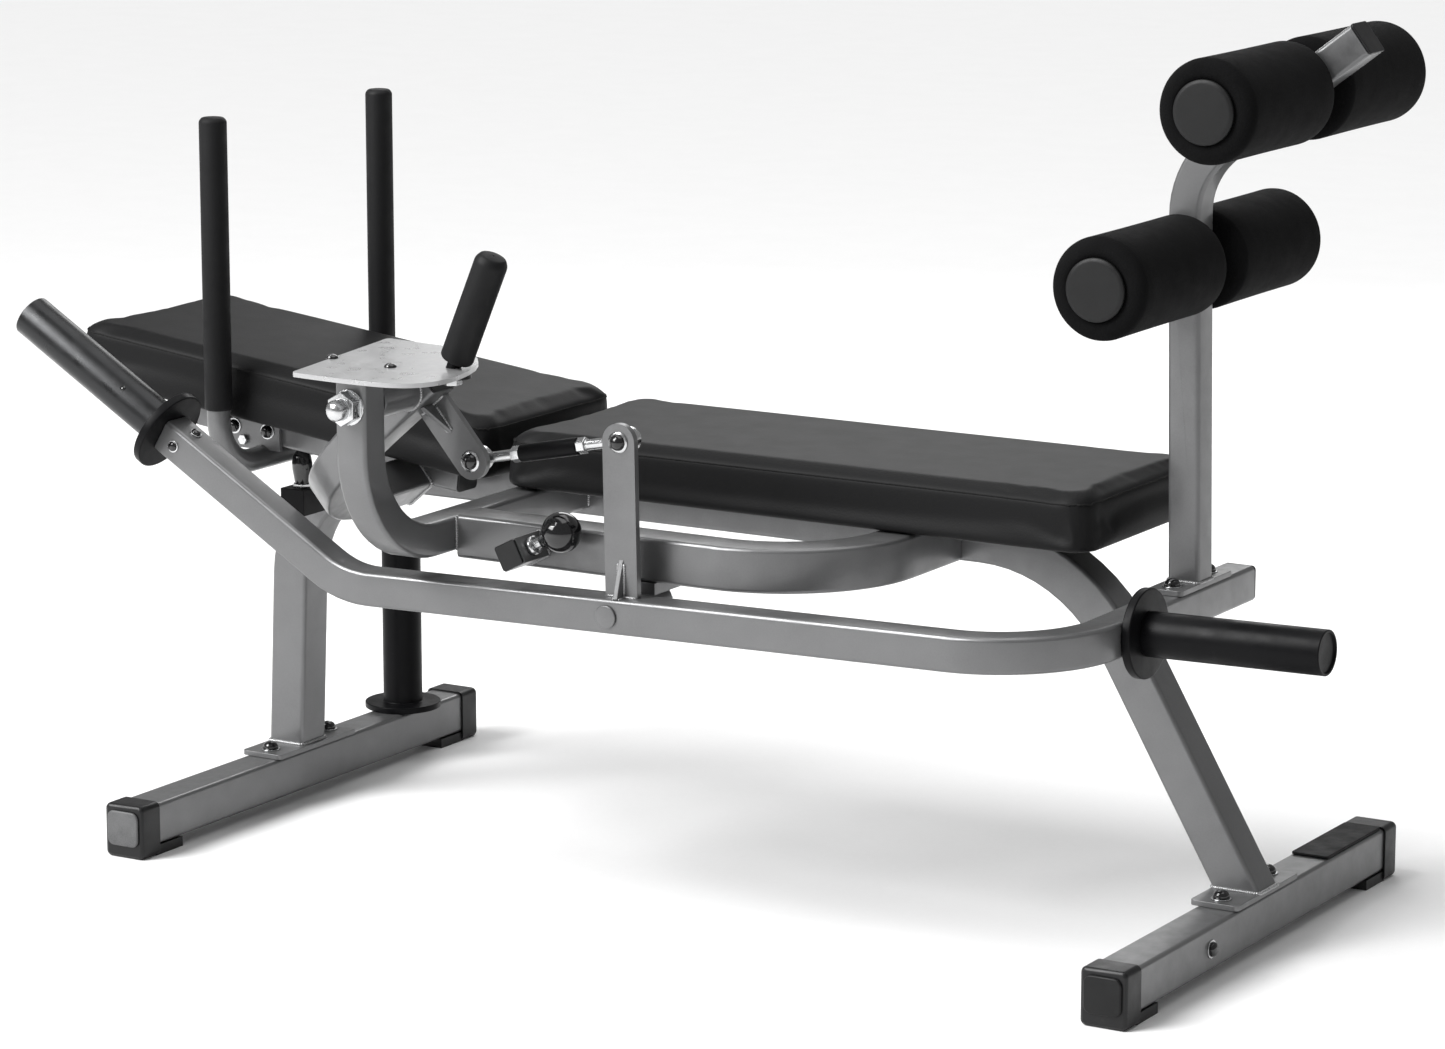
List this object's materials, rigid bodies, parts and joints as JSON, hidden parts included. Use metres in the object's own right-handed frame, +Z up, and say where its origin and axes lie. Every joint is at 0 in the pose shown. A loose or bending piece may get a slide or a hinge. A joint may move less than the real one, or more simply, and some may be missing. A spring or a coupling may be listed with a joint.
{
  "type": "decline sit up bench",
  "caption": "Low padded bench on a bent square-tube frame, with a back rest linked to a side weight lever that carries foam leg rollers and plate horns.",
  "frame": {"origin": "on the floor, under the middle of the whole bench's box", "axes": "+X from the head end to the foot rollers, +Y away from the weight lever's side, +Z up"},
  "size_m": [1.674, 0.8946, 1.0224],
  "materials": {
    "silver": "metallic silver powder coat",
    "black_steel": "satin black powder coat",
    "zinc": "bright zinc plate",
    "black_plastic": "moulded, fine grain",
    "grey_plastic": "moulded, satin",
    "rubber": "dense foam rubber, matt",
    "foam": "soft foam, fine pores",
    "vinyl": "black upholstery vinyl, fine leather grain"
  },
  "bodies": {
    "frame": {"main_frame_tube": "silver", "rear_foot_tube": "silver", "front_foot_tube": "silver", "rear_foot_cap_near": "black_plastic", "rear_foot_cap_far": "black_plastic", "front_foot_cap_near": "black_plastic", "front_foot_cap_far": "black_plastic", "rear_foot_flange": "silver", "front_foot_flange": "silver", "side_rail_tube": "silver", "pin_housing": "silver", "fixed_arm_tube": "silver", "top_plate": "silver", "side_grip": "rubber", "side_grip_stem": "black_steel", "pivot_bolt": "zinc", "lever_pivot_tube": "silver", "lever_pivot_bracket": "silver", "storage_horn": "black_steel", "bumper_bracket": "black_steel", "rubber_bumper": "rubber", "seat_pad": "vinyl", "seat_board": "black_plastic", "seat_bracket_rear": "silver", "seat_bracket_front": "silver"},
    "back_rest": {"moving_arm_tube": "silver", "pivot_housing": "silver", "crank_plate": "silver", "crank_pin": "black_steel", "back_pad": "vinyl", "back_board": "black_plastic", "back_pad_rail": "silver", "handle_tube": "silver", "handle_grip_near": "rubber", "handle_grip_far": "rubber", "handle_bracket": "silver"},
    "lever": {"lever_tube": "silver", "lever_pivot_shaft": "silver", "rear_collar": "black_steel", "rear_weight_horn": "black_steel", "front_collar": "black_steel", "front_weight_horn": "black_steel", "strut_plate": "silver", "strut_pin": "black_steel", "roller_post_base": "silver", "roller_post": "silver", "lower_axle": "zinc", "upper_axle": "zinc"},
    "link_rod": {"link_tube": "black_steel", "link_rod_end_rear": "zinc", "link_rod_end_front": "zinc"},
    "pull_pin": {"pull_pin": "black_plastic"},
    "lower_roller_near": {"lower_foam_roller_near": "foam", "lower_roller_cap_near": "grey_plastic"},
    "lower_roller_far": {"lower_foam_roller_far": "foam", "lower_roller_cap_far": "grey_plastic"},
    "upper_roller_near": {"upper_foam_roller_near": "foam", "upper_roller_cap_near": "grey_plastic"},
    "upper_roller_far": {"upper_foam_roller_far": "foam", "upper_roller_cap_far": "grey_plastic"}
  },
  "joints": [
    {"name": "lever_hinge", "type": "hinge", "parent": "frame", "child": "lever", "pos_m": [0.06514, -0.23569, 0.369], "axis": [0, -1, 0], "range_deg": [0, 15.3]},
    {"name": "back_hinge", "type": "hinge", "parent": "frame", "child": "back_rest", "pos_m": [-0.18486, -0.24819, 0.597], "axis": [0, 1, 0], "range_deg": [0, 30]},
    {"name": "link_hinge", "type": "hinge", "parent": "lever", "child": "link_rod", "pos_m": [0.07314, -0.22444, 0.561], "axis": [0, 1, 0], "range_deg": [0, 10]},
    {"name": "pull_pin_slide", "type": "slide", "parent": "frame", "child": "pull_pin", "axis": [0.891, 0, 0.454], "range_m": [0, 0.01], "stiffness_N_per_m": 600, "springref_m": -0.01},
    {"name": "lower_roller_near_spin", "type": "hinge", "parent": "lever", "child": "lower_roller_near", "pos_m": [0.59282, -0.02669, 0.7552], "axis": [0, 1, 0], "continuous": true},
    {"name": "lower_roller_far_spin", "type": "hinge", "parent": "lever", "child": "lower_roller_far", "pos_m": [0.59282, 0.21731, 0.7552], "axis": [0, 1, 0], "continuous": true},
    {"name": "upper_roller_near_spin", "type": "hinge", "parent": "lever", "child": "upper_roller_near", "pos_m": [0.71261, -0.02669, 0.9479], "axis": [0, 1, 0], "continuous": true},
    {"name": "upper_roller_far_spin", "type": "hinge", "parent": "lever", "child": "upper_roller_far", "pos_m": [0.71261, 0.21731, 0.9479], "axis": [0, 1, 0], "continuous": true}
  ],
  "couplings": [
    {"joint": "back_hinge", "follows": "lever_hinge", "ratio": 1.9356},
    {"joint": "link_hinge", "follows": "lever_hinge", "ratio": 0.59005}
  ]
}
